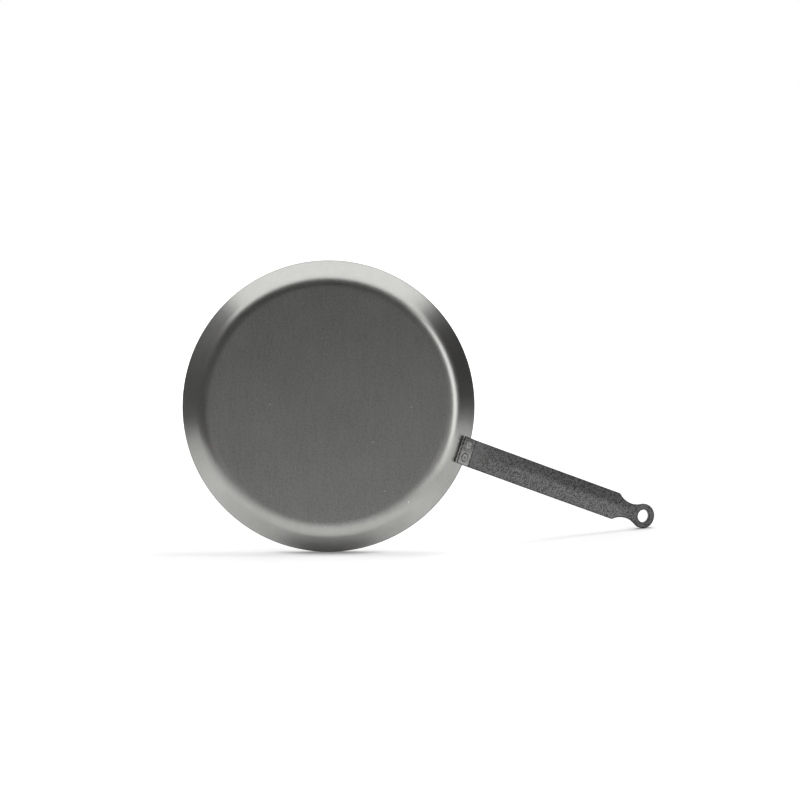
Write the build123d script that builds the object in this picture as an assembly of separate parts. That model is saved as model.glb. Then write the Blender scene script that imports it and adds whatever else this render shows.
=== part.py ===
from build123d import *
import os
from math import cos, radians, sin, sqrt

# Crepe pan: a pressed steel pan with a stamped and bent strip handle, held by two rivets.
# Millimetres. The pan lies on its base, +Z is up out of the cooking side, and the handle runs along +X.
# The origin is the centre of the base, on its underside.

# Pan body: one disc of sheet, pressed
rim_diameter = 240.0
pan_height = 18.5
sheet_thickness = 2.5
wall_angle = 45.0
base_bend_radius = 18.6
rim_chamfer = 0.4

# Handle strip: pad on the wall, bend, arm
strip_width = 23.0
strip_thickness = 3.0
strip_chamfer = 0.5
pad_lap = 11.0
pad_length = 13.5
crease_radius = 3.0
arm_slope = 27.0
arm_curve_radius = 2100.0
arm_length = 144.0

# Arch across the arm: it swells after the bend and fades at the neck
arch_rise = 1.4
arch_run_in = 42.0
arch_run_out = 48.0
arch_end_share = 0.55
arch_sections = 9

# Neck and hanging eye
neck_length = 27.7
scallop_radius = 20.0
eye_diameter = 20.8
hanging_hole_diameter = 11.0

# Rivets: shank, low head on the pad, thinner head inside the wall
rivet_spacing = 10.4
rivet_edge_distance = 4.5
rivet_shank_diameter = 4.4
pad_head_diameter = 7.6
pad_head_height = 0.8
inner_head_diameter = 7.6
inner_head_height = 0.7
head_bevel_height = 0.4
head_bevel_width = 1.0

# Clearances and cutting overrun
pad_clearance = 0.05
rivet_clearance = 0.1
overrun = 5.0

# Places worked out from the sizes
rim_radius = rim_diameter / 2
eye_radius = eye_diameter / 2
half_strip = strip_width / 2
slope = radians(wall_angle)
up_wall = Vector(cos(slope), 0, sin(slope))
off_wall = Vector(sin(slope), 0, -cos(slope))
rim_trim = rim_chamfer * min(cos(slope), sin(slope))
rim_edge = Vector(rim_radius + rim_trim, 0, pan_height + rim_trim - sheet_thickness * cos(slope))
bent_length = arm_length + neck_length


def pan_profile():
    """Half section of the pan: outer line from the axis to the rim, then the same line one sheet further in."""
    inner_radius = base_bend_radius - sheet_thickness
    bend_rise = base_bend_radius * (1 - cos(slope))
    wall_start = rim_edge.X - (rim_edge.Z - bend_rise) * cos(slope) / sin(slope)
    base_radius = wall_start - base_bend_radius * sin(slope)
    bend_centre = Vector(base_radius, base_bend_radius)

    def bend(radius):
        return [
            bend_centre + Vector(sin(turn), -cos(turn)) * radius
            for turn in (0, slope / 2, slope)
        ]

    outer_bend, inner_bend = bend(base_bend_radius), bend(inner_radius)
    rim_out = Vector(rim_edge.X, rim_edge.Z)
    rim_in = rim_out + Vector(-sin(slope), cos(slope)) * sheet_thickness
    axis_low, axis_high = Vector(0, 0), Vector(0, sheet_thickness)
    return make_face(
        [
            Line(axis_low, outer_bend[0]),
            ThreePointArc(*outer_bend),
            Line(outer_bend[-1], rim_out),
            Line(rim_out, rim_in),
            Line(rim_in, inner_bend[-1]),
            ThreePointArc(*reversed(inner_bend)),
            Line(inner_bend[0], axis_high),
            Line(axis_high, axis_low),
        ]
    )


def pan_shell():
    """The pressed pan before drilling, with the two corners of its cut rim broken."""
    profile = pan_profile()
    rim_corners = profile.vertices().sort_by(Axis.X)[-1:] + profile.vertices().sort_by(Axis.Y)[-1:]
    profile = chamfer(rim_corners, rim_chamfer)
    return revolve(Plane.XZ * profile, Axis.Z)


def pan_body():
    """The pressed pan with its two rivet holes."""
    return pan_shell() - rivet_holes()


def smooth_share(share):
    """Eases from 0 to 1 with no corner at either end."""
    held = min(max(share, 0), 1)
    return held * held * (3 - 2 * held)


def strip_section(place, arch, edge_lift):
    """A cut across the strip. The arch lifts its middle, the edge lift raises only the wall-side edges."""

    def face_curve(middle, edge):
        """Shallow curve across the strip, up to its broken corners, and its height at their ends."""
        end = middle - (middle - edge) * (inset / half_strip) ** 2
        return Bezier((-inset, end), (0, 2 * middle - end), (inset, end)), end

    inset = half_strip - strip_chamfer
    top_edge = strip_thickness + edge_lift
    low_turn, high_turn = strip_chamfer, top_edge - strip_chamfer
    underside, low_end = face_curve(arch, 0)
    top_side, high_end = face_curve(strip_thickness + arch, top_edge)
    near_side = Polyline(
        (inset, low_end), (half_strip, low_turn), (half_strip, high_turn), (inset, high_end)
    )
    far_side = Polyline(
        (-inset, low_end), (-half_strip, low_turn), (-half_strip, high_turn), (-inset, high_end)
    )
    return place * make_face([underside, near_side, top_side, far_side])


def strip_place(point, angle):
    """Plane across the strip at a point of its underside, where the strip climbs at the angle."""
    along = Vector(cos(angle), 0, sin(angle))
    return Plane(origin=point, x_dir=(0, 1, 0), z_dir=along)


def pad_point(distance):
    """Point of the pad's underside, at a distance from its root end."""
    root = rim_edge - up_wall * pad_lap + off_wall * (pad_clearance + strip_thickness)
    return root + up_wall * distance


def pad_edge_lift(distance):
    """How far the round wall falls away from the flat pad at the strip's edges."""
    wall_radius = pad_point(distance).X - sin(slope) * (pad_clearance + strip_thickness)
    return half_strip**2 * sin(slope) / (2 * wall_radius)


def crease_centre():
    return pad_point(pad_length) + off_wall * crease_radius


def arm_place(distance):
    """Plane across the arm at a distance from the bend: a slow curve to the shoulder, straight from there on."""
    start_angle = radians(arm_slope)
    curved = min(distance, arm_length)
    angle = start_angle - curved / arm_curve_radius
    start = crease_centre() - Vector(sin(start_angle), 0, -cos(start_angle)) * crease_radius
    run = Vector(sin(start_angle) - sin(angle), 0, cos(angle) - cos(start_angle)) * arm_curve_radius
    straight = Vector(cos(angle), 0, sin(angle)) * (distance - curved)
    return strip_place(start + run + straight, angle)


def arch_at(distance):
    """Rise of the arch at a distance from the bend."""
    arch_end = arm_length + neck_length * arch_end_share
    swell = smooth_share(distance / arch_run_in)
    fade = smooth_share((arch_end - distance) / arch_run_out)
    return arch_rise * swell * fade


def strip_blank():
    """The full-width strip: pad against the wall, bend outside the rim, arched arm and flat end."""
    root_lift, crease_lift = pad_edge_lift(0), pad_edge_lift(pad_length)
    root = strip_section(strip_place(pad_point(0), slope), 0, root_lift)
    crease_start = strip_section(strip_place(pad_point(pad_length), slope), 0, crease_lift)
    pad = loft([root, crease_start], ruled=True)

    crease_axis = Axis(crease_centre(), (0, 1, 0))
    crease = revolve(crease_start, crease_axis, wall_angle - arm_slope)

    arch_end = arm_length + neck_length * arch_end_share
    arm_sections = []
    for number in range(arch_sections):
        distance = arch_end * number / (arch_sections - 1)
        lift = crease_lift * (1 - smooth_share(distance / arch_run_in))
        arm_sections.append(strip_section(arm_place(distance), arch_at(distance), lift))
    arm = loft(arm_sections)

    tip = strip_section(arm_place(bent_length + eye_radius + overrun), 0, 0)
    flat_end = loft([arm_sections[-1], tip], ruled=True)
    return pad + crease + arm + flat_end


def eye_plane():
    """Plane of the eye's underside, centred on the hanging hole, with its X along the strip."""
    place = arm_place(bent_length)
    return Plane(origin=place.origin, x_dir=place.z_dir, z_dir=place.y_dir)


def handle_outline():
    """Flat outline of the stamped end: full strip, two scallops from the shoulders, then the round eye."""
    shoulder = Vector(-neck_length, half_strip)
    reach = eye_radius + scallop_radius
    along = (reach**2 + shoulder.length**2 - scallop_radius**2) / (2 * shoulder.length)
    aside = sqrt(reach**2 - along**2)
    shoulder_way = shoulder.normalized()
    scallop_centre = shoulder_way * along + Vector(shoulder_way.Y, -shoulder_way.X) * aside
    eye_meeting = scallop_centre.normalized() * eye_radius
    deepest_way = ((shoulder + eye_meeting) / 2 - scallop_centre).normalized()
    scallop_middle = scallop_centre + deepest_way * scallop_radius
    outside = half_strip + overrun
    root_side = -bent_length - pad_length - overrun

    def mirrored(point):
        return Vector(point.X, -point.Y)

    corners = [Vector(-neck_length, outside), Vector(root_side, outside)]
    return make_face(
        [
            ThreePointArc(shoulder, scallop_middle, eye_meeting),
            ThreePointArc(eye_meeting, Vector(eye_radius, 0), mirrored(eye_meeting)),
            ThreePointArc(mirrored(eye_meeting), mirrored(scallop_middle), mirrored(shoulder)),
            Line(mirrored(shoulder), mirrored(corners[0])),
            Line(mirrored(corners[0]), mirrored(corners[1])),
            Line(mirrored(corners[1]), corners[1]),
            Line(corners[1], corners[0]),
            Line(corners[0], shoulder),
        ]
    )


def handle():
    """The strip, stamped to its outline, pierced for the hanging hole and drilled for the rivets."""
    deep = pan_height + strip_thickness + arch_rise + overrun
    stamp = eye_plane() * extrude(handle_outline(), deep, both=True)
    hanging_hole = eye_plane() * extrude(Circle(hanging_hole_diameter / 2), deep, both=True)
    return (strip_blank() & stamp) - hanging_hole - rivet_holes()


def rivet_plane(side):
    """Plane at a rivet, on the wall's outer face, with its Z out of the pan. The side is 1 or -1."""
    point = rim_edge - up_wall * rivet_edge_distance + Vector(0, side * rivet_spacing / 2, 0)
    return Plane(origin=point, x_dir=(0, 1, 0), z_dir=off_wall)


def rivet_holes():
    """Both rivet holes, through the pad and the wall."""
    bore = Circle(rivet_shank_diameter / 2 + rivet_clearance)
    deep = strip_thickness + sheet_thickness + overrun
    drill = extrude(bore, deep, both=True)
    return [rivet_plane(side) * drill for side in (1, -1)]


def rivet_head(diameter, height):
    """A low flat head that stands on the plane, with a bevel round its top."""
    foot, shoulder = (diameter / 2, 0), (diameter / 2, height - head_bevel_height)
    top_edge = (diameter / 2 - head_bevel_width, height)
    half = make_face(Polyline((0, 0), foot, shoulder, top_edge, (0, height), close=True))
    return revolve(Plane.XZ * half, Axis.Z)


def rivet(side):
    """Shank through both holes, a head on the pad and a head seated on the round inside of the wall."""
    plane = rivet_plane(side)
    pad_face = pad_clearance + strip_thickness
    lean = (rivet_spacing + inner_head_diameter) / 2
    fall = lean**2 * sin(slope) / (2 * (rim_radius - sheet_thickness * sin(slope)))
    pad_head = Pos(0, 0, pad_face) * rivet_head(pad_head_diameter, pad_head_height)

    buried = sheet_thickness / 2 + fall
    inner_blank = rivet_head(inner_head_diameter, buried + inner_head_height)
    inner_head = plane * Pos(0, 0, -sheet_thickness / 2) * Rot(180, 0, 0) * inner_blank - pan_shell()

    shank_length = pad_face + sheet_thickness + fall
    shank = Pos(0, 0, pad_face - shank_length) * extrude(Circle(rivet_shank_diameter / 2), shank_length)
    return plane * (pad_head + shank) + inner_head


os.makedirs("parts", exist_ok=True)
export_step(pan_body(), "parts/pan_body.step")
export_step(handle(), "parts/handle.step")
export_step(rivet(1), "parts/rivet_left.step")
export_step(rivet(-1), "parts/rivet_right.step")
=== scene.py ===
# %% [markdown]
# # A crepe pan, piece by piece
#
# The object is a small steel crepe pan, seen from underneath. It is four pieces: one disc of sheet steel,
# pressed into a shallow pan with a flared wall, one long strip handle, stamped and bent, and the two rivets
# that hold them together. The lesson draws each piece as its own mesh, in the order in which the real one
# is made, and then gives it its finish.
#
# The CAD model is loaded first. It gives the nodes that the new meshes stand for. Everything is in
# metres, so `mm` turns a maker's millimetres into metres.

# %% Load the frame
import math

import bmesh
import bpy
from mathutils import Matrix, Vector


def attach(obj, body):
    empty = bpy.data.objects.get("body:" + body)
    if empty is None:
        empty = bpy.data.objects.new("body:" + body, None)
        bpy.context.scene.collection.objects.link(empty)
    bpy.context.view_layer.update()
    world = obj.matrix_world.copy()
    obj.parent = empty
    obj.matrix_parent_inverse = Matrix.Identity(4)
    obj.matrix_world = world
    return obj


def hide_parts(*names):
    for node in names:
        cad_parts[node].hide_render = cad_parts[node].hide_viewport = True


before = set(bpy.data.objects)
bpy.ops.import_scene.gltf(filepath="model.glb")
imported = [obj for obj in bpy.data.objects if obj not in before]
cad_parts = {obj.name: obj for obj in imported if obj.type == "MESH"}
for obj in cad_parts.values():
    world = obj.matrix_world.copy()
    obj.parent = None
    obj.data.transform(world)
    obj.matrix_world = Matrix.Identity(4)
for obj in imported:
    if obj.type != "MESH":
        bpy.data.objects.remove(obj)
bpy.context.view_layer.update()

mm = 0.001

# %% [markdown]
# ## The viewpoint
#
# The pan stands on its rim on white paper, leans back a little, and shows its underside. The model lies in
# its own frame with the base at the bottom, and stays there: the camera and the floor are turned instead.
# A camera's matrix is easiest to read as three directions. Its X is the picture's right, its Y the picture's
# up, and its Z points back out of the picture. A long lens from two metres keeps the circle nearly round.

# %% Camera
picture_right = Vector((0.9478, -0.3186, -0.0102))
view_way = Vector((-0.0109, -0.0642, 0.9979)).normalized()
picture_up = picture_right.cross(view_way).normalized()
picture_right = view_way.cross(picture_up)
camera_place = Vector((0.07611, 0.10656, -1.99657))

camera_data = bpy.data.cameras.new("photo_camera")
camera_data.sensor_width = 36.0
camera_data.lens = 110.48
camera = bpy.data.objects.new("photo_camera", camera_data)
camera_turn = Matrix((picture_right, picture_up, -view_way)).transposed()
camera.matrix_world = Matrix.Translation(camera_place) @ camera_turn.to_4x4()
bpy.context.scene.collection.objects.link(camera)
bpy.context.scene.camera = camera
bpy.context.scene.view_settings.view_transform = "Standard"
print("camera up:", [round(value, 4) for value in picture_up])

# %% [markdown]
# ## Helpers for materials
#
# A finish is a small network of nodes. In the editor it is boxes and wires, and a script adds the same boxes
# one by one. Each helper below adds a box, fills in what is fixed, wires in what varies, and gives back the
# output that the next step needs. A world has the same kind of network, so the helpers work for it too.
#
# The one used most is the ramp. Its numbers are always the low value, the high value, and the two places
# between which it goes from one to the other. Colours are linear light, in which 0.18 is a middle grey.

# %% Nodes and links


def new_material(name):
    """A node material and its shader."""
    material = bpy.data.materials.new(name)
    material.use_nodes = True
    return material, material.node_tree.nodes["Principled BSDF"]


def fill_inputs(material, node, inputs):
    """Fills inputs by name or number. An output is wired in, and a fixed value is typed in."""
    for key, value in inputs.items():
        if isinstance(value, bpy.types.NodeSocket):
            material.node_tree.links.new(value, node.inputs[key])
        else:
            node.inputs[key].default_value = value


def add_node(material, kind, settings=None, inputs=None):
    """One node of the kind, with its settings and its inputs."""
    node = material.node_tree.nodes.new(kind)
    for name, value in (settings or {}).items():
        setattr(node, name, value)
    fill_inputs(material, node, inputs or {})
    return node


def tell(material):
    print(material.name, "is a network of", len(material.node_tree.nodes), "nodes")


# %% Numbers


def add_math(material, operation, *values):
    """A Math node with its one, two or three values."""
    node = add_node(material, "ShaderNodeMath", {"operation": operation}, dict(enumerate(values)))
    return node.outputs[0]


def add_chain(material, operation, first, *others):
    """One operation over all the values, two at a time."""
    for value in others:
        first = add_math(material, operation, first, value)
    return first


def add_product(material, *values):
    """All the values multiplied together."""
    return add_chain(material, "MULTIPLY", *values)


def add_sum(material, start, *terms):
    """The start plus the terms, each of them a value and its weight."""
    for value, weight in terms:
        start = add_math(material, "MULTIPLY_ADD", value, weight, start)
    return start


def add_length(material, *parts):
    """How long a flat arrow with these two parts is."""
    squares = [add_product(material, part, part) for part in parts]
    return add_math(material, "SQRT", add_chain(material, "ADD", *squares))


def add_ramp(material, factor, low, high, start=0.0, end=1.0):
    """A soft step: low up to the start, high from the end on."""
    inputs = {"Value": factor, "From Min": start, "From Max": end, "To Min": low, "To Max": high}
    node = add_node(material, "ShaderNodeMapRange", {"interpolation_type": "SMOOTHSTEP"}, inputs)
    return node.outputs["Result"]


def add_split(material, vector):
    """The X, Y and Z of a vector, as three outputs."""
    node = add_node(material, "ShaderNodeSeparateXYZ", inputs={"Vector": vector})
    return [node.outputs[axis] for axis in "XYZ"]


# %% [markdown]
# ## Where the floor is
#
# The pan touches the floor at two places, its rim and the eye of its handle. In the model's own frame that
# floor is a tilted plane. Its upward direction comes from the two touching points and from how far the
# camera looks down on it. Right, up and front, as the camera sees them, are then the studio's three
# directions, and every lamp and card below is placed with them.

# %% Directions of the studio
floor_up = Vector((-0.3107, -0.9163, -0.2527)).normalized()
floor_height = -0.12037
stage_front = (floor_up * view_way.dot(floor_up) - view_way).normalized()
stage_right = floor_up.cross(stage_front)
floor_turn = Matrix((stage_right, -stage_front, floor_up)).transposed()


def stage_place(right, up, front):
    """A point of the studio, in metres from the centre of the pan's base."""
    return stage_right * right + floor_up * up + stage_front * front


print("floor looks up along:", [round(value, 3) for value in floor_up])

# %% [markdown]
# ## White for the camera, with the pan's shadow left on it
#
# The background in the photograph is pure white. Lamps strong enough to make paper that white would burn
# the pan out too. A Light Path node knows which kind of ray asks for the floor's colour, so the camera can
# be given white that lights nothing. Only 0.4 of what the camera sees is that white, which is why its level
# is above 1, and the rest is real paper, which keeps the soft shadow that the lamps throw.
#
# White of this kind doesn't darken where something touches the floor, and then the pan seems to float.
# Ambient occlusion finds the narrow gap beside the rim and the eye, and takes the white away inside it.

# %% White for the camera
camera_share = 0.4
camera_white = 1.55
far_gain = 1.6
handle_loss = 0.82
contact_reach = 0.012
contact_dark = 0.2


def add_open_share(material, reach, dark, start, end):
    """1 on open floor, and down to the dark value in the gap beside what stands within reach."""
    nook = add_node(material, "ShaderNodeAmbientOcclusion", {"samples": 8}, {"Distance": reach})
    return add_ramp(material, nook.outputs["AO"], dark, 1.0, start, end)


def add_camera_white(material, right, from_pan):
    """The white's level: higher far from the pan, and lower under the handle, where its shadow lies."""
    level = add_ramp(material, from_pan, camera_white, camera_white * far_gain, 0.3, 0.8)
    under_handle = add_ramp(material, right, 1.0, handle_loss, 0.1, 0.22)
    contact = add_open_share(material, contact_reach, contact_dark, 0.3, 1.0)
    return add_product(material, contact, level, under_handle)


print("camera's white:", camera_white, "near the pan and", round(camera_white * far_gain, 2), "far off")

# %% [markdown]
# ## The floor as the steel sees it
#
# Satin steel is a dull mirror, and the lower half of the pan mostly shows the paper in front of it. That
# paper isn't evenly bright: lamps are aimed, and the pan keeps the light off a part of it. Instead of more
# lamps, the floor gets a little light that only reflections see, in three broad soft zones: round the pan,
# out to the right, and far to the left. The zones read the floor's own coordinates, so they lie still
# wherever the camera stands. A second ambient occlusion shuts the light off close to the rim, which gives
# the dark foot of the pan's wall.

# %% Light for the reflections
near_light = 0.46
right_light = 0.62
left_light = 0.18
rim_reach = 0.028


def add_mirror_light(material, right, in_front, from_pan):
    """How bright the floor's extra light is at each place."""
    near_zone = add_product(
        material,
        add_ramp(material, from_pan, near_light, 0.0, 0.05, 0.62),
        add_ramp(material, in_front, 1.0, 0.4, 0.03, 0.14),
        add_ramp(material, right, 1.0, 0.3, 0.05, 0.22),
    )
    right_zone = add_product(
        material,
        add_ramp(material, right, 0.0, right_light, 0.2, 0.36),
        add_ramp(material, in_front, 0.0, 1.0, 0.02, 0.15),
        add_ramp(material, from_pan, 1.0, 0.5, 0.9, 1.5),
    )
    left_zone = add_ramp(material, right, left_light, 0.0, -0.5, -0.35)
    zones = add_chain(material, "ADD", near_zone, right_zone, left_zone)
    return add_product(material, zones, add_open_share(material, rim_reach, 0.0, 0.45, 0.75))


print("light in reflections:", near_light, "near,", right_light, "at the right,", left_light, "at the left")

# %% [markdown]
# ## The floor's material
#
# The floor is matt paper, a little darker than white. The shaders are stacked: paper, plus the light for
# reflections, then a share of the camera's white. Last comes a switch for the two sides of the sheet. Seen
# from below, the floor is clear, because some views look at the pan from under it.

# %% Floor material
paper_white = (0.93, 0.93, 0.93, 1.0)


def add_glow(material, strength):
    """White light of the material's own."""
    return add_node(material, "ShaderNodeEmission", inputs={"Strength": strength}).outputs[0]


def add_shader_mix(material, factor, first, second):
    """Shows the first shader where the factor is 0, and the second where it is 1."""
    return add_node(material, "ShaderNodeMixShader", inputs={0: factor, 1: first, 2: second}).outputs[0]


def add_floor_material():
    material, shader = new_material("white_sweep")
    fill_inputs(material, shader, {"Base Color": paper_white, "Roughness": 0.9, "Specular IOR Level": 0.2})
    right, back, _ = add_split(material, add_node(material, "ShaderNodeTexCoord").outputs["Object"])
    in_front = add_math(material, "MULTIPLY", back, -1.0)
    from_pan = add_length(material, right, back)

    rays = add_node(material, "ShaderNodeLightPath")
    glossy, through = rays.outputs["Is Glossy Ray"], rays.outputs["Is Transmission Ray"]
    mirrored = add_math(material, "MAXIMUM", glossy, through)
    mirror_light = add_mirror_light(material, right, in_front, from_pan)
    glow = add_glow(material, add_product(material, mirrored, mirror_light))
    paper = add_node(material, "ShaderNodeAddShader", inputs={0: shader.outputs[0], 1: glow})

    white = add_glow(material, add_camera_white(material, right, from_pan))
    seen = add_math(material, "MULTIPLY", rays.outputs["Is Camera Ray"], camera_share)
    upper = add_shader_mix(material, seen, paper.outputs[0], white)
    clear = add_node(material, "ShaderNodeBsdfTransparent")
    side = add_node(material, "ShaderNodeNewGeometry")
    both = add_shader_mix(material, side.outputs["Backfacing"], upper, clear.outputs[0])
    fill_inputs(material, material.node_tree.nodes["Material Output"], {"Surface": both})
    return material


floor_material = add_floor_material()
tell(floor_material)

# %% [markdown]
# ## Flat sheets of the studio
#
# The floor and every card below are flat rectangles, so one helper makes them: a grid of one face, scaled to
# size. The floor is sixteen metres wide, because the background has to go on past the edge of the picture.

# %% Floor
floor_size = 16.0


def add_stage_plane(name, width, depth, centre, turn, material):
    """A flat rectangle of the studio, facing along the turned Z."""
    shape = bmesh.new()
    bmesh.ops.create_grid(shape, x_segments=1, y_segments=1, size=0.5)
    bmesh.ops.scale(shape, vec=(width, depth, 1.0), verts=shape.verts)
    mesh = bpy.data.meshes.new(name)
    shape.to_mesh(mesh)
    shape.free()
    mesh.materials.append(material)
    plane = bpy.data.objects.new(name, mesh)
    plane.matrix_world = Matrix.Translation(centre) @ turn.to_4x4()
    bpy.context.scene.collection.objects.link(plane)
    return plane


add_stage_plane("floor", floor_size, floor_size, floor_up * floor_height, floor_turn, floor_material)
print("floor lies", round(-floor_height / mm, 1), "mm below the centre of the base")

# %% [markdown]
# ## The world round the studio
#
# Beyond the floor the room is white as well. The world gives it full white for the camera and for
# reflections, and only 0.3 for the light that falls on the pan, so that the lamps do the lighting.

# %% World
room_light = 0.3
world = bpy.data.worlds.new("studio")
bpy.context.scene.world = world
world.use_nodes = True
rays = add_node(world, "ShaderNodeLightPath")
seen_by = [rays.outputs[name] for name in ("Is Camera Ray", "Is Glossy Ray", "Is Transmission Ray")]
sky_light = add_ramp(world, add_chain(world, "MAXIMUM", *seen_by), room_light, 1.0)
sky = world.node_tree.nodes["Background"]
fill_inputs(world, sky, {"Color": (1.0, 1.0, 1.0, 1.0), "Strength": sky_light})
tell(world)

# %% [markdown]
# ## Lamps
#
# Steel shows its surroundings more than its own colour, so each lamp is there for what it does in the steel.
# The top of the wall is bright because a wide softbox hangs over it. The thin bright line down the right of
# the bend is the reflection of a tall strip light. The small shadow on the floor asks for a small lamp, high
# up and a little behind, and that one is hidden from reflections, where it would be a hot spot.
#
# Blender's area lamps are set in watts. A photographer thinks of how bright a lamp's face looks, which is
# its radiance, so the helper works the watts out from that and from the face's size.

# %% Lamps


def add_softbox(name, width, height, centre, facing, top_way, radiance):
    """A rectangular lamp that shines along a direction and that the camera doesn't see."""
    lamp_data = bpy.data.lights.new(name, "AREA")
    lamp_data.shape = "RECTANGLE"
    lamp_data.size = width
    lamp_data.size_y = height
    lamp_data.energy = radiance * width * height * math.pi
    lamp = bpy.data.objects.new(name, lamp_data)
    turn = Matrix((facing.cross(top_way), top_way, -facing)).transposed()
    lamp.matrix_world = Matrix.Translation(centre) @ turn.to_4x4()
    lamp.visible_camera = False
    bpy.context.scene.collection.objects.link(lamp)
    print(name, "gives", round(lamp_data.energy, 1), "W")
    return lamp


add_softbox(
    "overhead_softbox", width=2.12, height=1.95, centre=stage_place(-0.02, 1.1, -0.575),
    facing=-floor_up, top_way=stage_front, radiance=0.72,
)
strip_way = (stage_right * 0.847 + stage_front * 0.532).normalized()
add_softbox(
    "right_strip", width=0.62, height=1.92, centre=strip_way * 2.0 + floor_up * 0.84,
    facing=-strip_way, top_way=floor_up, radiance=2.4,
)
key_way = (stage_right * 0.25 + floor_up - stage_front * 0.28).normalized()
high_key = add_softbox(
    "high_key", width=0.42, height=0.42, centre=key_way * 1.8,
    facing=-key_way, top_way=key_way.cross(stage_front).normalized(), radiance=26.0,
)
high_key.visible_glossy = False

# %% [markdown]
# ## Cards for the dark parts of the steel
#
# White paper all round would make the steel white all over. A photographer stands grey cards round a metal
# object and lets it mirror them. The base faces the camera, so it shows the card in front, pale grey at its
# foot and darker above. The two sides of the wall are dark because of a card at the left and one at the
# right. The last card hangs flat beside the softbox, on the camera's side, and ends its reflection in grey,
# where the white room would follow.
#
# The cards are real matt sheets, and only the camera doesn't see them. A grey that fades from foot to top
# gives the slow changes of tone in the steel. Their feet hang 16 mm above the floor. The white for the
# camera looks 12 mm round itself for a gap, so a lower foot would draw a thin grey line on the floor.

# %% Card helpers
card_foot = floor_height + 0.016


def add_colour_mix(material, factor, low, high):
    """Goes from the low colour to the high colour. Either may be a colour or an output."""
    low, high = ((*value, 1.0) if isinstance(value, tuple) else value for value in (low, high))
    node = add_node(material, "ShaderNodeMix", {"data_type": "RGBA"}, {"Factor": factor, 6: low, 7: high})
    return node.outputs[2]


def add_card_material(name, foot_grey, top_grey, fade_from, fade_to, height):
    """A matt grey that fades to another between two heights, in metres above the card's foot."""
    material, shader = new_material(name)
    _, upwards, _ = add_split(material, add_node(material, "ShaderNodeTexCoord").outputs["Object"])
    fade = add_ramp(material, upwards, 0.0, 1.0, fade_from - height / 2, fade_to - height / 2)
    grey = add_colour_mix(material, fade, (foot_grey,) * 3, (top_grey,) * 3)
    fill_inputs(material, shader, {"Base Color": grey, "Roughness": 1.0, "Specular IOR Level": 0.0})
    return material


def add_upright_card(name, start, end, top, greys, fade):
    """A standing card between two (right, front) points of the floor."""
    low = stage_place(start[0], card_foot, start[1])
    high = stage_place(end[0], card_foot, end[1])
    along = (high - low).normalized()
    turn = Matrix((along, floor_up, along.cross(floor_up))).transposed()
    height = top - card_foot
    centre = (low + high) / 2 + floor_up * height / 2
    material = add_card_material(name, *greys, *fade, height)
    card = add_stage_plane(name, (high - low).length, height, centre, turn, material)
    card.visible_camera = False
    print(name, "is", round((high - low).length, 2), "m wide and", round(height, 2), "m high")


# %% Cards
add_upright_card("front_card", (-1.25, 0.95), (1.04, 0.95), top=1.2, greys=(0.74, 0.22), fade=(0.07, 0.62))
add_upright_card("left_card", (-0.75, -0.8), (-0.75, 0.95), top=0.75, greys=(0.18, 0.25), fade=(0.3, 0.6))
add_upright_card("right_card", (2.2, -2.3), (2.2, 1.67), top=2.3, greys=(0.07, 0.14), fade=(0.2, 1.5))

roof_height = 1.2
roof_centre = stage_place(-0.35, roof_height, 0.69)
roof_turn = Matrix((stage_right, stage_front, -floor_up)).transposed()
roof_material = add_card_material("roof_card", 0.3, 0.3, 0.0, 1.0, 1.0)
roof_card = add_stage_plane("roof_card", 2.3, 0.8, roof_centre, roof_turn, roof_material)
roof_card.visible_camera = False
print("roof_card hangs", round(roof_height - floor_height, 2), "m above the floor")

# %% [markdown]
# ## The pan body
#
# A press forms the pan from one flat disc in one stroke. The base stays flat, a generous bend follows, and
# the wall flares out at 45 degrees to a plain cut rim. The bend's radius decides how wide the bright line
# in it is, and the wall's slope decides what the wall mirrors, so both were read from the photograph's
# reflections. The other sizes follow from them and from the rim.

# %% Pan sizes
rim_radius = 120.0 * mm
pan_height = 18.5 * mm
sheet = 2.5 * mm
base_bend = 18.6 * mm
wall_slope = math.radians(45.0)
rim_round = 0.7 * mm
rim_trim = 0.4 * mm * math.sin(wall_slope)

up_wall = Vector((math.cos(wall_slope), 0.0, math.sin(wall_slope)))
off_wall = Vector((math.sin(wall_slope), 0.0, -math.cos(wall_slope)))
rim_edge = Vector((rim_radius + rim_trim, 0.0, pan_height + rim_trim - sheet * math.cos(wall_slope)))
bend_rise = base_bend * (1.0 - math.cos(wall_slope))
wall_start = rim_edge.x - (rim_edge.z - bend_rise) / math.tan(wall_slope)
base_radius = wall_start - base_bend * math.sin(wall_slope)
bend_centre = Vector((base_radius, 0.0, base_bend))
print("flat base is", round(2 * base_radius / mm, 1), "mm across")

# %% [markdown]
# ## Patterns
#
# Steel and paint need patterns that a texture node works out from a place. Noise gives clouds and grit, and
# Voronoi gives cells round scattered points. Both read Object coordinates in metres, so a scale of 1000
# means a pattern of about a millimetre. A Mapping node turns and stretches those coordinates, and that
# makes a grain with a direction out of round clouds.

# %% Pattern helpers


def add_noise(material, vector, scale, detail=4.0, roughness=0.55):
    """A cloudy pattern. A scale of 100 makes clouds about a hundredth of a metre across."""
    inputs = {"Vector": vector, "Scale": scale, "Detail": detail, "Roughness": roughness}
    return add_node(material, "ShaderNodeTexNoise", inputs=inputs).outputs["Fac"]


def add_place(material, turn=0.0, stretch=(1.0, 1.0, 1.0)):
    """Object coordinates, turned about Z and stretched, so that a pattern can follow the sheet's grain."""
    place = add_node(material, "ShaderNodeTexCoord").outputs["Object"]
    inputs = {"Vector": place, "Rotation": (0.0, 0.0, turn), "Scale": stretch}
    return add_node(material, "ShaderNodeMapping", {"vector_type": "TEXTURE"}, inputs).outputs["Vector"]


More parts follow.
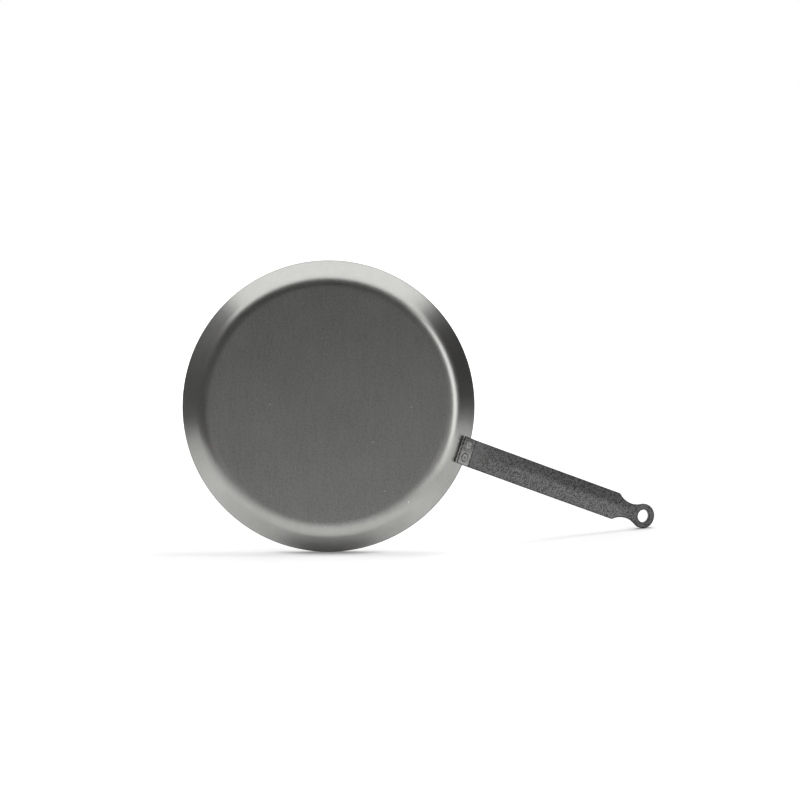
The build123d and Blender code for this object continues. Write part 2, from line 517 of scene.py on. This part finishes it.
def add_bump(material, height, strength, depth):
    """Relief too fine to model. It tilts the light and moves no point of the mesh."""
    inputs = {"Height": height, "Strength": strength, "Distance": depth}
    return add_node(material, "ShaderNodeBump", inputs=inputs).outputs["Normal"]


# %% [markdown]
# ## The pan's finish
#
# The pan is bare carbon steel, with no coating and no polish. Rolled sheet has a fine grit and a faint
# grain in one direction, broad clouds where the rolling oil dried, and a few pits and bright specks. The
# press burnishes the wall as it draws it, so the grit is plain on the flat base and nearly gone on the wall.
#
# All of this is weak, because most of what is seen is reflection. So the pattern goes into the metal's
# colour, its roughness and a very shallow bump together, and none of them is strong. The cut edge of the
# rim and the last half millimetre of the wall get a painted shade, which darkens them.

# %% Grain and specks of the steel
grain_turn = math.radians(-18.6)
wall_grit = 0.15


def add_steel_tone(material, clouds, streaks, flat, grain, radius):
    """0 for the darker and 1 for the paler steel. The fine part fades out where the wall starts."""
    grit = add_noise(material, flat, 620.0, 2.0, 0.6)
    broad_streaks = add_noise(material, grain, 160.0, 3.0, 0.5)
    rolled = add_ramp(material, radius, 1.0, wall_grit, base_radius - 2.0 * mm, base_radius + 10.0 * mm)
    fine = add_sum(material, -1.6, (streaks, 1.0), (grit, 2.2))
    return add_sum(material, 0.2, (clouds, 0.55), (broad_streaks, 0.4), (fine, rolled))


def add_speck_mask(material, flat):
    """Single bright points: the middles of the few cells whose random colour is high enough."""
    inputs = {"Vector": flat, "Scale": 45.0, "Randomness": 1.0}
    settings = {"feature": "F1", "voronoi_dimensions": "2D"}
    cells = add_node(material, "ShaderNodeTexVoronoi", settings, inputs)
    chosen = add_node(material, "ShaderNodeSeparateColor", inputs={"Color": cells.outputs["Color"]})
    middle = add_ramp(material, cells.outputs["Distance"], 1.0, 0.0, 0.012, 0.028)
    return add_product(material, middle, add_ramp(material, chosen.outputs[0], 0.0, 1.0, 0.85, 0.97))


print("grain runs", round(math.degrees(grain_turn), 1), "degrees off the handle's line")

# %% Pan steel
dark_steel = (0.30, 0.30, 0.29)
pale_steel = (0.43, 0.428, 0.414)
pit_colour = (0.2, 0.195, 0.185)
speck_colour = (0.95, 0.94, 0.91)
painted_rim_shade = (0.08, 0.08, 0.075)


def add_pan_steel():
    material, shader = new_material("pan_steel")
    flat = add_place(material)
    grain = add_place(material, grain_turn, (1.0, 14.0, 1.0))
    clouds = add_noise(material, flat, 22.0, 5.0, 0.6)
    streaks = add_noise(material, grain, 900.0, 3.0, 0.6)
    across, along, _ = add_split(material, flat)
    radius = add_length(material, across, along)

    tone = add_steel_tone(material, clouds, streaks, flat, grain, radius)
    colour = add_colour_mix(material, tone, dark_steel, pale_steel)
    pits = add_ramp(material, add_noise(material, flat, 650.0, 1.0, 0.4), 0.0, 0.4, 0.72, 0.82)
    colour = add_colour_mix(material, pits, colour, pit_colour)
    colour = add_colour_mix(material, add_speck_mask(material, flat), colour, speck_colour)
    # Painted shade: darkens the rim's cut edge and the wall's last half millimetre.
    rim_shade_share = add_ramp(material, radius, 0.0, 0.6, rim_radius - 0.9 * mm, rim_radius - 0.2 * mm)
    colour = add_colour_mix(material, rim_shade_share, colour, painted_rim_shade)
    rough = add_sum(material, 0.24, (clouds, 0.06), (streaks, 0.04))
    relief = add_bump(material, streaks, 0.25, 0.08 * mm)
    looks = {"Base Color": colour, "Metallic": 1.0, "Roughness": rough, "Normal": relief}
    fill_inputs(material, shader, looks)
    return material


pan_steel = add_pan_steel()
tell(pan_steel)

# %% [markdown]
# ## Drawing with bmesh
#
# A bmesh is Blender's editable mesh, and its operators are the same tools as in the editor: extrude, spin,
# bevel, solidify. With the helpers below a section is drawn the way a turner would draw it. A line is
# pulled out of the last point, and an arc is the last point swung round a centre. A full spin then makes
# the body, with its first and last copy merged.

# %% Drawing helpers


def pull_line(shape, end, target, steps=1):
    """Pulls edges out of the end point towards the target and gives the new end."""
    start = end.co.copy()
    for step in range(1, steps + 1):
        end = bmesh.ops.extrude_vert_indiv(shape, verts=[end])["verts"][0]
        end.co = start.lerp(target, step / steps)
    return end


def swing_arc(shape, end, centre, axis, angle, steps):
    """Swings the end point round a centre and gives the new end."""
    swung = bmesh.ops.spin(shape, geom=[end], cent=centre, axis=axis, angle=angle, steps=steps)
    return next(item for item in swung["geom_last"] if isinstance(item, bmesh.types.BMVert))


def spin_round(shape, steps):
    """Spins the section once round Z, and closes the skin at the seam and at the axis."""
    bmesh.ops.spin(
        shape, geom=shape.verts[:] + shape.edges[:], cent=(0.0, 0.0, 0.0), axis=(0.0, 0.0, 1.0),
        angle=math.tau, steps=steps, use_merge=True,
    )
    bmesh.ops.remove_doubles(shape, verts=shape.verts, dist=0.002 * mm)
    bmesh.ops.recalc_face_normals(shape, faces=shape.faces)


def round_off(shape, parts, radius, segments, affect="EDGES"):
    """Rounds edges of a body, or corners of a drawn section."""
    bmesh.ops.bevel(
        shape, geom=parts, offset=radius, offset_type="OFFSET", segments=segments, profile=0.5,
        affect=affect, material=-1, clamp_overlap=True,
    )


# %% [markdown]
# ## Handing a piece over
#
# A finished mesh becomes an object at the origin, with its place in its mesh. It rides on the pan's one
# body, hides the CAD node that it stands for, and takes its finish as its material. The
# weighted normals keep the flats flat next to the small rounded edges.
#
# Before a piece is bent or moved, each point's own place is noted on the mesh. A finish that reads the note
# follows the piece like paint, however it is bent afterwards.

# %% Finishing helpers


def keep_own_place(shape):
    """Notes each point's place on the mesh, under the name own_place."""
    note = shape.verts.layers.float_vector.new("own_place")
    for vert in shape.verts:
        vert[note] = vert.co


def add_own_place(material):
    """The place that a point had before its piece was bent or moved, as keep_own_place noted it."""
    return add_node(material, "ShaderNodeAttribute", {"attribute_name": "own_place"}).outputs["Vector"]


def finish_piece(shape, name, material, nodes):
    """Turns the bmesh into a smooth object that rides on the pan and stands for its CAD nodes."""
    for face in shape.faces:
        face.smooth = True
    mesh = bpy.data.meshes.new(name)
    shape.to_mesh(mesh)
    open_edges = sum(1 for edge in shape.edges if len(edge.link_faces) != 2)
    shape.free()
    mesh.materials.append(material)
    piece = bpy.data.objects.new(name, mesh)
    bpy.context.scene.collection.objects.link(piece)
    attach(piece, "root")
    for node in nodes:
        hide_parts(node)
    flats = piece.modifiers.new("even_flats", "WEIGHTED_NORMAL")
    flats.weight = 50
    print(name, "has", len(mesh.polygons), "faces and", open_edges, "open edges")


# %% [markdown]
# ## The pan's section, spun round
#
# A pressed pan is a shape of revolution, so half of its section is drawn once and spun round the axis. The
# sheet's thickness is drawn too, because the cut rim shows it: out along the underside, up the wall, over
# the rim, and back down inside. The two corners of the rim are rounded before the spin, which is one bevel
# of two points. Straight runs get several points, which keeps the smooth shading of the bend out of the
# flats. 256 steps round make the rim look like a circle at any distance.

# %% Pan mesh


def draw_pan_section(shape):
    """The section from the middle of the underside to the middle of the inside. Gives the rim's corners."""
    cross = Vector((0.0, 1.0, 0.0))
    point = shape.verts.new((0.0, 0.0, 0.0))
    point = pull_line(shape, point, Vector((base_radius, 0.0, 0.0)), 12)
    point = swing_arc(shape, point, bend_centre, cross, -wall_slope, 14)
    outer_corner = pull_line(shape, point, rim_edge, 7)
    inner_corner = pull_line(shape, outer_corner, rim_edge - off_wall * sheet)
    point = pull_line(shape, inner_corner, bend_centre + off_wall * (base_bend - sheet), 7)
    point = swing_arc(shape, point, bend_centre, cross, wall_slope, 14)
    pull_line(shape, point, Vector((0.0, 0.0, sheet)), 12)
    return [outer_corner, inner_corner]


def build_pan_body():
    shape = bmesh.new()
    rim_corners = draw_pan_section(shape)
    round_off(shape, rim_corners, rim_round, 4, "VERTICES")
    spin_round(shape, 256)
    finish_piece(shape, "pan_body_steel", pan_steel, ["pan_body"])


build_pan_body()

# %% [markdown]
# ## The handle
#
# The handle starts as a flat stamping: a 23 mm strip that narrows in two scallops to a round eye with a
# hanging hole. It is then bent twice, sharply where it leaves the pan and in a long slow curve after that,
# and it is arched across its width, which makes a thin strip stiff. The mesh is made in that order: the
# flat blank first, then its thickness and its rounded edges, and the bending last of all.
#
# The blank lies along X with the eye's centre at the origin, so places towards the pan are negative.

# %% Handle sizes
strip_width = 23.0 * mm
strip_thick = 3.0 * mm
half_strip = strip_width / 2
pad_lap = 11.0 * mm
pad_length = 13.5 * mm
pad_gap = 0.05 * mm
crease_radius = 3.0 * mm
arm_slope = math.radians(27.0)
crease_turn = wall_slope - arm_slope
crease_length = crease_radius * crease_turn
arm_curve = 2100.0 * mm
arm_length = 144.0 * mm
neck_length = 27.7 * mm
scallop_radius = 20.0 * mm
eye_radius = 10.4 * mm
hole_radius = 5.5 * mm
arm_start = pad_length + crease_length
eye_at = arm_start + arm_length + neck_length
print("flat blank is", round((eye_at + eye_radius) / mm, 1), "mm long")

# %% [markdown]
# ## The outline of the blank
#
# Each scallop is an arc that starts at the strip's shoulder and runs smoothly into the eye. Its centre is as
# far from the shoulder as its radius, and from the eye's centre as both radii together, and the crossing of
# those two circles gives it. The eye and the upper neck are drawn outwards from the hole, so the outline is
# also needed the other way round: how far out it lies in a given direction.

# %% Scallop and outline
shoulder = Vector((-neck_length, half_strip))
reach = eye_radius + scallop_radius
along = (reach**2 + shoulder.length_squared - scallop_radius**2) / (2 * shoulder.length)
aside = math.sqrt(reach**2 - along**2)
shoulder_way = shoulder.normalized()
scallop_centre = shoulder_way * along + Vector((shoulder_way.y, -shoulder_way.x)) * aside
eye_meeting = scallop_centre.normalized() * eye_radius


def reach_scallop(way, centre):
    """How far the scallop's near side is from the eye's centre along a direction."""
    inward = way.dot(centre)
    return inward - math.sqrt(inward**2 - centre.length_squared + scallop_radius**2)


def scallop_half_width(x):
    """Half the neck's width at a place x."""
    return scallop_centre.y - math.sqrt(scallop_radius**2 - (x - scallop_centre.x) ** 2)


corner_way = Vector((-1.0, 1.0)).normalized()
neck_line = corner_way.x * reach_scallop(corner_way, scallop_centre)


def eye_reach(way):
    """How far the outline is from the eye's centre along a direction: eye, then scallop, then neck line."""
    if way.x > eye_meeting.normalized().x:
        return eye_radius
    if abs(way.y) >= abs(way.x) - 1e-6:
        side = Vector((scallop_centre.x, math.copysign(scallop_centre.y, way.y)))
        return reach_scallop(way.xy, side)
    return neck_line / way.x


print("scallop centre in mm:", [round(value / mm, 2) for value in scallop_centre])

# %% [markdown]
# ## The rows of the blank
#
# From the neck to the root the blank grows row by row. The rows lie closest where the later bend or the
# outline turns fast, at the crease and in the scallop, and farthest apart along the slow curve of the arm.
# Two rows close together at the shoulder keep its corner crisp.

# %% Rows of the blank


def even_rows(start, end, steps):
    """Places from the start to the end in even steps, without the start itself."""
    return [start + (end - start) * step / steps for step in range(1, steps + 1)]


def blank_rows():
    """Each row's place and half its width, from the neck to the root."""
    arm_from = -neck_length - 0.7 * mm
    crease_from = arm_start - eye_at + 0.5 * mm
    pad_from = pad_length - eye_at - 0.5 * mm
    rows = [(x, scallop_half_width(x)) for x in even_rows(neck_line, -neck_length + 0.6 * mm, 11)]
    rows.append((-neck_length - 0.02 * mm, half_strip - 0.14 * mm))
    rows.append((arm_from, half_strip))
    straight = even_rows(arm_from, crease_from, 52)
    straight += even_rows(crease_from, pad_from, 10)
    straight += even_rows(pad_from, -eye_at, 9)
    return rows + [(x, half_strip) for x in straight]


print("blank has", len(blank_rows()), "rows from the neck to the root")

# %% [markdown]
# ## The bent line
#
# Bending a strip doesn't change its length, so every place on the blank is a distance from the root, and
# the bent line says where that distance ends up: flat on the wall, round the crease, along the slow curve,
# and straight again in the neck. A modifier could bend a strip too, but a line in code passes exactly
# through the pad on the wall and the eye on the floor.

# %% Bent line
pad_root = rim_edge - up_wall * pad_lap + off_wall * (pad_gap + strip_thick)
crease_centre = pad_root + up_wall * pad_length + off_wall * crease_radius


def strip_line(distance):
    """Point of the underside's middle line and its slope, at a distance from the root."""
    if distance <= pad_length:
        return pad_root + up_wall * distance, wall_slope
    turned = min((distance - pad_length) / crease_radius, crease_turn)
    angle = wall_slope - turned
    point = crease_centre + Vector((-math.sin(angle), 0.0, math.cos(angle))) * crease_radius
    run = max(distance - arm_start, 0.0)
    curved = min(run, arm_length)
    end_angle = angle - curved / arm_curve
    swept = Vector((math.sin(angle) - math.sin(end_angle), 0.0, math.cos(end_angle) - math.cos(angle)))
    point = point + swept * arm_curve
    point = point + Vector((math.cos(end_angle), 0.0, math.sin(end_angle))) * (run - curved)
    return point, end_angle


tip_point, _ = strip_line(eye_at + eye_radius)
print("tip of the underside in mm:", [round(value / mm, 1) for value in tip_point])

# %% [markdown]
# ## The arch, and the seat on the round wall
#
# Two shapes across the width are added to the bent line. The arch lifts the middle by 1.4 mm. It fades in
# after the crease and out in the neck, and its flanks are nearly straight, which gives the clear border
# between the handle's lighter and darker half. That border lies a little off the middle, so the ridge does
# too. The second shape is the seat: the wall is round, so the pad's wall side rises at its two edges to
# follow it, and this fades out along the arm.

# %% Arch and seat
arch_rise = 1.4 * mm
arch_ridge = 0.25
arch_middle = -1.5 * mm
arch_in = 42.0 * mm
arch_out = 34.0 * mm
arch_end = arm_length + neck_length * 0.7


def smooth_share(share):
    """A soft step from 0 to 1."""
    held = min(max(share, 0.0), 1.0)
    return held * held * (3.0 - 2.0 * held)


def arch_at(distance):
    """How far the ridge is lifted at a distance from the root."""
    run = distance - arm_start
    return arch_rise * smooth_share(run / arch_in) * smooth_share((arch_end - run) / arch_out)


def arch_share(across):
    """The arch's section: 1 at the ridge and 0 at the edges."""
    if across > arch_middle:
        share = (across - arch_middle) / (half_strip - arch_middle)
    else:
        share = (arch_middle - across) / (half_strip + arch_middle)
    flank = math.hypot(share, arch_ridge) - arch_ridge
    return 1.0 - flank / (math.hypot(1.0, arch_ridge) - arch_ridge)


def edge_lift_at(distance):
    """How far the wall side of the pad rises at its edges."""
    held = min(distance, pad_length)
    wall_radius = (pad_root + up_wall * held).x - math.sin(wall_slope) * (pad_gap + strip_thick)
    lift = half_strip**2 * math.sin(wall_slope) / (2 * wall_radius)
    return lift * (1.0 - smooth_share((distance - arm_start) / arch_in))


def bend_point(flat):
    """Moves a point of the flat blank onto the bent handle."""
    distance = flat.x + eye_at
    point, angle = strip_line(distance)
    upwards = Vector((-math.sin(angle), 0.0, math.cos(angle)))
    edge_share = (flat.y / half_strip) ** 2
    lift = edge_lift_at(distance) * edge_share * flat.z / strip_thick
    height = flat.z + arch_at(distance) * arch_share(flat.y) + lift
    return point + upwards * height + Vector((0.0, flat.y, 0.0))


print("the pad's edges rise", round(edge_lift_at(0.0) / mm, 2), "mm at the root")

# %% [markdown]
# ## Where the stamped edges are
#
# The handle's finish paints shade along its stamped edges, so it has to know how near such an edge is. The
# mesh can't tell it, but the outline can be written once more in nodes: the strip's side, the scallop's
# circle, the eye's circle and the hole's circle. The nearest of them, together with the nearest face, gives
# the distance. It is measured on the flat blank, so the bending doesn't disturb it.

# %% Distance from the stamped edges


def add_edge_distance(material, run, across, through):
    """Distance from the nearest stamped edge of the flat blank."""
    side = add_math(material, "ABSOLUTE", across)
    from_side = add_math(material, "SUBTRACT", half_strip, side)
    past_scallop = add_math(material, "SUBTRACT", run, scallop_centre.x)
    off_scallop = add_math(material, "SUBTRACT", side, scallop_centre.y)
    from_scallop = add_length(material, past_scallop, off_scallop)
    from_scallop = add_math(material, "SUBTRACT", from_scallop, scallop_radius)
    before_eye = add_math(material, "SUBTRACT", eye_meeting.x, run)
    in_strip = add_chain(material, "MINIMUM", from_side, from_scallop, before_eye)
    from_middle = add_length(material, run, side)
    in_eye = add_math(material, "SUBTRACT", eye_radius, from_middle)
    from_hole = add_math(material, "SUBTRACT", from_middle, hole_radius)
    from_root = add_math(material, "ADD", run, eye_at)
    in_outline = add_math(material, "MAXIMUM", in_strip, in_eye)
    inside = add_chain(material, "MINIMUM", in_outline, from_hole, from_root)
    from_top = add_math(material, "SUBTRACT", strip_thick, through)
    from_face = add_math(material, "MINIMUM", through, from_top)
    return add_length(material, add_math(material, "MAXIMUM", inside, 0.0), from_face)


print("the scallop meets the eye at", [round(value / mm, 2) for value in eye_meeting], "mm")

# %% [markdown]
# ## The hammered paint
#
# The handle has a dark grey paint that dries to a pebbled skin, about a millimetre from pebble to pebble.
# The tops of the pebbles are paler and glossier than the hollows between them, and fine noise breaks them
# up. Smooth Voronoi cells have just that shape. Towards the pan the coat is thinner, and the steel under it
# makes it a shade paler.

# %% Hammered paint
paint_hollow = (0.004, 0.004, 0.0038)
paint_top = (0.054, 0.054, 0.0525)
paint_thin = (0.11, 0.11, 0.107)


def add_hammered_paint(material, blank, run):
    """The paint's colour, its tone from hollow to top, and its relief."""
    inputs = {"Vector": blank, "Scale": 1020.0, "Smoothness": 0.5, "Randomness": 1.0}
    pebbles = add_node(material, "ShaderNodeTexVoronoi", {"feature": "SMOOTH_F1"}, inputs)
    hollow = add_ramp(material, pebbles.outputs["Distance"], 0.0, 1.0, 0.15, 0.75)
    fine = add_noise(material, blank, 1800.0, 2.0, 0.6)
    clouds = add_noise(material, blank, 90.0, 4.0, 0.6)
    tone = add_sum(material, 0.45, (hollow, -0.5), (fine, 0.75), (clouds, 0.25))
    tone = add_ramp(material, tone, 0.0, 1.0, 0.34, 0.92)
    paint = add_colour_mix(material, tone, paint_hollow, paint_top)
    thin_coat = add_ramp(material, run, 0.4, 0.0, 15.0 * mm - eye_at, 32.0 * mm - eye_at)
    paint = add_colour_mix(material, thin_coat, paint, paint_thin)
    return paint, tone, add_sum(material, 1.0, (hollow, -1.0), (fine, 0.35))


print("paint goes from", paint_hollow[0], "in the hollows to", paint_top[0], "on the pebbles")

# %% [markdown]
# ## The rubbed pad
#
# The pad on the wall has almost no paint. It was rubbed down around the rivets, so it is mottled grey
# metal, with painted light that makes it paler towards its +Y side, and with a few bright specks right at
# the root's end.

# %% Rubbed pad
bare_dark = (0.085, 0.085, 0.083)
bare_pale = (0.38, 0.375, 0.365)
root_bright = (0.95, 0.95, 0.92)
painted_light_side_gain = 22.0


def add_rubbed_pad(material, blank, run, across):
    """The bare pad's colour and its relief."""
    mottle = add_noise(material, blank, 330.0, 4.0, 0.6)
    # Painted light: the pad is made paler towards its +Y side.
    tone = add_sum(material, mottle, (across, painted_light_side_gain))
    tone = add_ramp(material, tone, 0.0, 1.0, 0.2, 0.8)
    colour = add_colour_mix(material, tone, bare_dark, bare_pale)
    specks = add_ramp(material, add_noise(material, blank, 700.0, 2.0, 0.5), 0.0, 1.0, 0.42, 0.56)
    at_root = add_ramp(material, add_math(material, "ADD", run, eye_at), 1.0, 0.0, 0.2 * mm, 0.5 * mm)
    colour = add_colour_mix(material, add_product(material, at_root, specks), colour, root_bright)
    return colour, add_math(material, "MULTIPLY", mottle, 0.8)


print("the pad is bare for", round(pad_length / mm, 1), "mm from the root")

# %% [markdown]
# ## The whole finish of the handle
#
# Paint and pad meet in a slightly wavy line just past the pad. Painted shade darkens that line at the end
# of the crease, and the same painted shade runs along all the stamped edges. The shaded parts lose their
# gloss as well as their colour, because a bright reflection would hide them.

# %% Handle coating
painted_shade_dark = (0.012, 0.012, 0.011)
coat_line = pad_length - eye_at + 1.1 * mm


def add_distance(material, value, mark):
    """How far a value is from a mark, on either side of it."""
    return add_math(material, "ABSOLUTE", add_math(material, "SUBTRACT", value, mark))


def add_handle_coating():
    material, shader = new_material("handle_coating")
    blank = add_own_place(material)
    run, across, through = add_split(material, blank)
    paint, tone, paint_relief = add_hammered_paint(material, blank, run)
    pad, pad_relief = add_rubbed_pad(material, blank, run, across)

    wavy_run = add_sum(material, run, (add_noise(material, blank, 260.0), 2.2 * mm))
    bare = add_ramp(material, wavy_run, 1.0, 0.0, coat_line - 0.3 * mm, coat_line + 0.3 * mm)
    # Painted shade: a dark line along the paint's border at the end of the crease, where the strip bends.
    seam = add_ramp(material, add_distance(material, wavy_run, coat_line), 0.92, 0.0, 0.15 * mm, 0.65 * mm)
    from_edge = add_edge_distance(material, run, across, through)
    # Painted shade along all the stamped edges of the blank.
    edge = add_ramp(material, from_edge, 0.92, 0.0, 0.35 * mm, 0.85 * mm)
    colour = add_colour_mix(material, bare, paint, pad)
    colour = add_colour_mix(material, add_math(material, "MAXIMUM", seam, edge), colour, painted_shade_dark)

    metal = add_product(material, bare, add_sum(material, 0.5, (edge, -0.5)))
    # The painted edge shade also takes the gloss away along the edges.
    dulling = add_sum(material, 1.0, (edge, -0.8))
    shine = add_product(material, add_sum(material, 0.32, (tone, 0.55)), dulling)
    rough = add_sum(material, 0.18, (bare, 0.18))
    inputs = {"Factor": bare, 2: paint_relief, 3: pad_relief}
    height = add_node(material, "ShaderNodeMix", {"data_type": "FLOAT"}, inputs).outputs[0]
    relief = add_bump(material, height, 0.28, 0.1 * mm)
    looks = {
        "Base Color": colour, "Metallic": metal, "Specular IOR Level": shine, "Roughness": rough,
        "Normal": relief,
    }
    fill_inputs(material, shader, looks)
    return material


handle_coating = add_handle_coating()
tell(handle_coating)

# %% [markdown]
# ## The blank as a mesh
#
# The hole is a circle of 96 edges, and everything grows out of it by extruding edges. Three rings lead from
# the hole to the outline of the eye and the upper neck. The ring's edges on the straight neck line are then
# pulled out row by row, each row moved and scaled to its width. That way the faces run round the hole and
# along the strip, as the metal does, and no hole has to be cut afterwards.

# %% Growing the blank


def grow(shape, edges):
    """Pulls a strip of faces out of open edges. Gives its new edges and points."""
    grown = bmesh.ops.extrude_edge_only(shape, edges=edges)["geom"]
    new_edges = [item for item in grown if isinstance(item, bmesh.types.BMEdge)]
    new_points = [item for item in grown if isinstance(item, bmesh.types.BMVert)]
    return new_edges, new_points


# %% Eye of the blank


def grow_eye(shape):
    """The eye and the upper neck, in three rings. Gives the last ring's edges."""
    bmesh.ops.create_circle(shape, cap_ends=False, radius=hole_radius, segments=96)
    ring_edges = shape.edges[:]
    for share in (0.36, 0.68, 1.0):
        ring_edges, ring = grow(shape, ring_edges)
        for vert in ring:
            way = vert.co.normalized()
            vert.co = way * (hole_radius + (eye_reach(way) - hole_radius) * share)
    return ring_edges


# %% Strip of the blank


def grow_strip(shape, ring_edges):
    """The lower neck, the arm, the crease and the pad, out of the ring's straight edges."""
    row_edges = [
        edge for edge in ring_edges if all(abs(vert.co.x - neck_line) < 0.01 * mm for vert in edge.verts)
    ]
    place, half_width = neck_line, abs(neck_line)
    for next_place, next_half in blank_rows():
        row_edges, row = grow(shape, row_edges)
        bmesh.ops.translate(shape, vec=(next_place - place, 0.0, 0.0), verts=row)
        bmesh.ops.scale(shape, vec=(1.0, next_half / half_width, 1.0), verts=row)
        place, half_width = next_place, next_half


strip_blank = bmesh.new()
grow_strip(strip_blank, grow_eye(strip_blank))
print("flat blank has", len(strip_blank.faces), "faces")

# %% [markdown]
# ## Thickness and rounded edges
#
# Solidify gives the blank its 3 mm while it is still flat. Then the stamped edges are rounded. The hole's
# edges come first and stay nearly sharp, because its wall shows as a thin bright ring. The root's edge at
# the wall gets a wider rounding than the rest, and that opens the dark line which the photograph shows
# under the root. Each bevel leaves no sharp edges behind, so the next one finds only those that are still
# to be rounded.

# %% Thickness and edges
hole_bevel = 0.1 * mm
root_bevel = 1.0 * mm
edge_bevel = 0.5 * mm
sharp_turn = math.radians(60.0)


def thicken_blank(shape):
    """Gives the blank its thickness, with the underside at zero."""
    bmesh.ops.recalc_face_normals(shape, faces=shape.faces)
    bmesh.ops.solidify(shape, geom=shape.faces[:], thickness=strip_thick)
    lowest = min(vert.co.z for vert in shape.verts)
    bmesh.ops.translate(shape, vec=(0.0, 0.0, -lowest), verts=shape.verts)
    bmesh.ops.recalc_face_normals(shape, faces=shape.faces)


def sharp_edges(shape, wanted):
    """The edges that are still sharp and have both ends where they are wanted."""
    sharp = [edge for edge in shape.edges if edge.calc_face_angle(0.0) > sharp_turn]
    return [edge for edge in sharp if all(wanted(vert.co) for vert in edge.verts)]


def round_stamped_edges(shape):
    at_hole = sharp_edges(shape, lambda place: place.xy.length < hole_radius * 1.01)
    round_off(shape, at_hole, hole_bevel, 2)
    at_root = sharp_edges(shape, lambda place: place.x < 0.01 * mm - eye_at and place.z > strip_thick / 2)
    round_off(shape, at_root, root_bevel, 3)
    round_off(shape, sharp_edges(shape, lambda place: True), edge_bevel, 3)


thicken_blank(strip_blank)
round_stamped_edges(strip_blank)
print("thick blank has", len(strip_blank.faces), "faces")

# %% [markdown]
# ## Bending it
#
# The blank is finished, so every point's flat place is noted for the paint. Then each point moves onto the
# bent line, with the arch and the seat added.

# %% Handle mesh


def bend_handle(shape):
    keep_own_place(shape)
    for vert in shape.verts:
        vert.co = bend_point(vert.co)
    bmesh.ops.recalc_face_normals(shape, faces=shape.faces)
    finish_piece(shape, "strip_handle", handle_coating, ["handle"])


bend_handle(strip_blank)

# %% [markdown]
# ## The rivets' finish
#
# Two rivets go through the pad and the wall. Their heads on the pad are steel, mottled like the rubbed metal
# round them. What shows of each is a ring that the setting tool pressed into the head, darkened with painted
# shade, and a spot of painted shade in the middle. The ring of the rivet on the handle's +Y side shows
# plainly, the other one less, so the painted shade is weaker on the -Y side.

# %% Rivet steel
groove_radius = 3.35 * mm
rivet_dark = (0.19, 0.19, 0.185)
rivet_pale = (0.44, 0.44, 0.425)
painted_groove_shade = (0.03, 0.03, 0.028)
faint_side_shade = 0.55


def add_rivet_steel():
    material, shader = new_material("rivet_steel")
    across, along, _ = add_split(material, add_own_place(material))
    radius = add_length(material, across, along)
    flat = add_place(material)
    mottle = add_noise(material, flat, 420.0, 4.0, 0.6)
    colour = add_colour_mix(material, add_ramp(material, mottle, 0.0, 1.0, 0.3, 0.7), rivet_dark, rivet_pale)
    # Painted shade in the pressed groove and in the middle of the head, weaker on the -Y side.
    groove = add_ramp(material, add_distance(material, radius, groove_radius), 0.85, 0.0, 0.2 * mm, 0.6 * mm)
    middle = add_ramp(material, radius, 0.6, 0.0, 0.4 * mm, 1.5 * mm)
    painted_rivet_shade = add_math(material, "MAXIMUM", groove, middle)
    _, side, _ = add_split(material, flat)
    painted_rivet_shade = add_product(material, painted_rivet_shade, add_ramp(material, side, faint_side_shade, 1.0, -1.0 * mm, 1.0 * mm))
    colour = add_colour_mix(material, painted_rivet_shade, colour, painted_groove_shade)
    rough = add_ramp(material, mottle, 0.5, 0.38)
    relief = add_bump(material, mottle, 0.4, 0.1 * mm)
    looks = {"Base Color": colour, "Metallic": 0.7, "Roughness": rough, "Normal": relief}
    fill_inputs(material, shader, looks)
    return material


rivet_steel = add_rivet_steel()
tell(rivet_steel)

# %% [markdown]
# ## The rivets as meshes
#
# A rivet is a turned shape as well, drawn as half a section and spun. The head on the pad is low and nearly
# flat, with the pressed groove drawn into it. The shank runs through the pad and the wall, and a flatter
# head closes it inside the pan. Each rivet is drawn upright, and then moved to its place and turned square
# to the wall, with its place left in its mesh.

# %% Rivet sections
rivet_spacing = 10.4 * mm
rivet_from_rim = 4.5 * mm
grip = sheet + pad_gap + strip_thick
pad_head = (
    (0.0, 0.36), (0.9, 0.38), (1.45, 0.56), (2.5, 0.6), (2.9, 0.52), (3.15, 0.2), (3.4, 0.18), (3.6, 0.3),
    (3.75, 0.26), (3.8, 0.1), (3.8, -0.5), (2.2, -0.5),
)
inner_head = ((2.2, 0.5), (3.8, 0.5), (3.8, -0.35), (3.6, -0.58), (3.1, -0.68), (1.5, -0.7), (0.0, -0.7))
print("a rivet holds", round(grip / mm, 2), "mm of metal")

# %% Rivet meshes


def build_rivet(side, name, node):
    """One rivet. Side is 1 for the handle's +Y side and -1 for the other."""
    shape = bmesh.new()
    outside = [Vector((radius, 0.0, height)) * mm for radius, height in pad_head]
    inside = [Vector((radius * mm, 0.0, height * mm - grip)) for radius, height in inner_head]
    point = shape.verts.new(outside[0])
    for corner in outside[1:] + inside:
        point = pull_line(shape, point, corner)
    spin_round(shape, 48)
    keep_own_place(shape)
    centre = rim_edge - up_wall * rivet_from_rim + off_wall * (pad_gap + strip_thick)
    centre.y = side * rivet_spacing / 2
    turn = Matrix((up_wall, off_wall.cross(up_wall), off_wall)).transposed()
    bmesh.ops.transform(shape, matrix=Matrix.Translation(centre) @ turn.to_4x4(), verts=shape.verts)
    finish_piece(shape, name, rivet_steel, [node])


build_rivet(1, "left_rivet", "rivet_left")
build_rivet(-1, "right_rivet", "rivet_right")
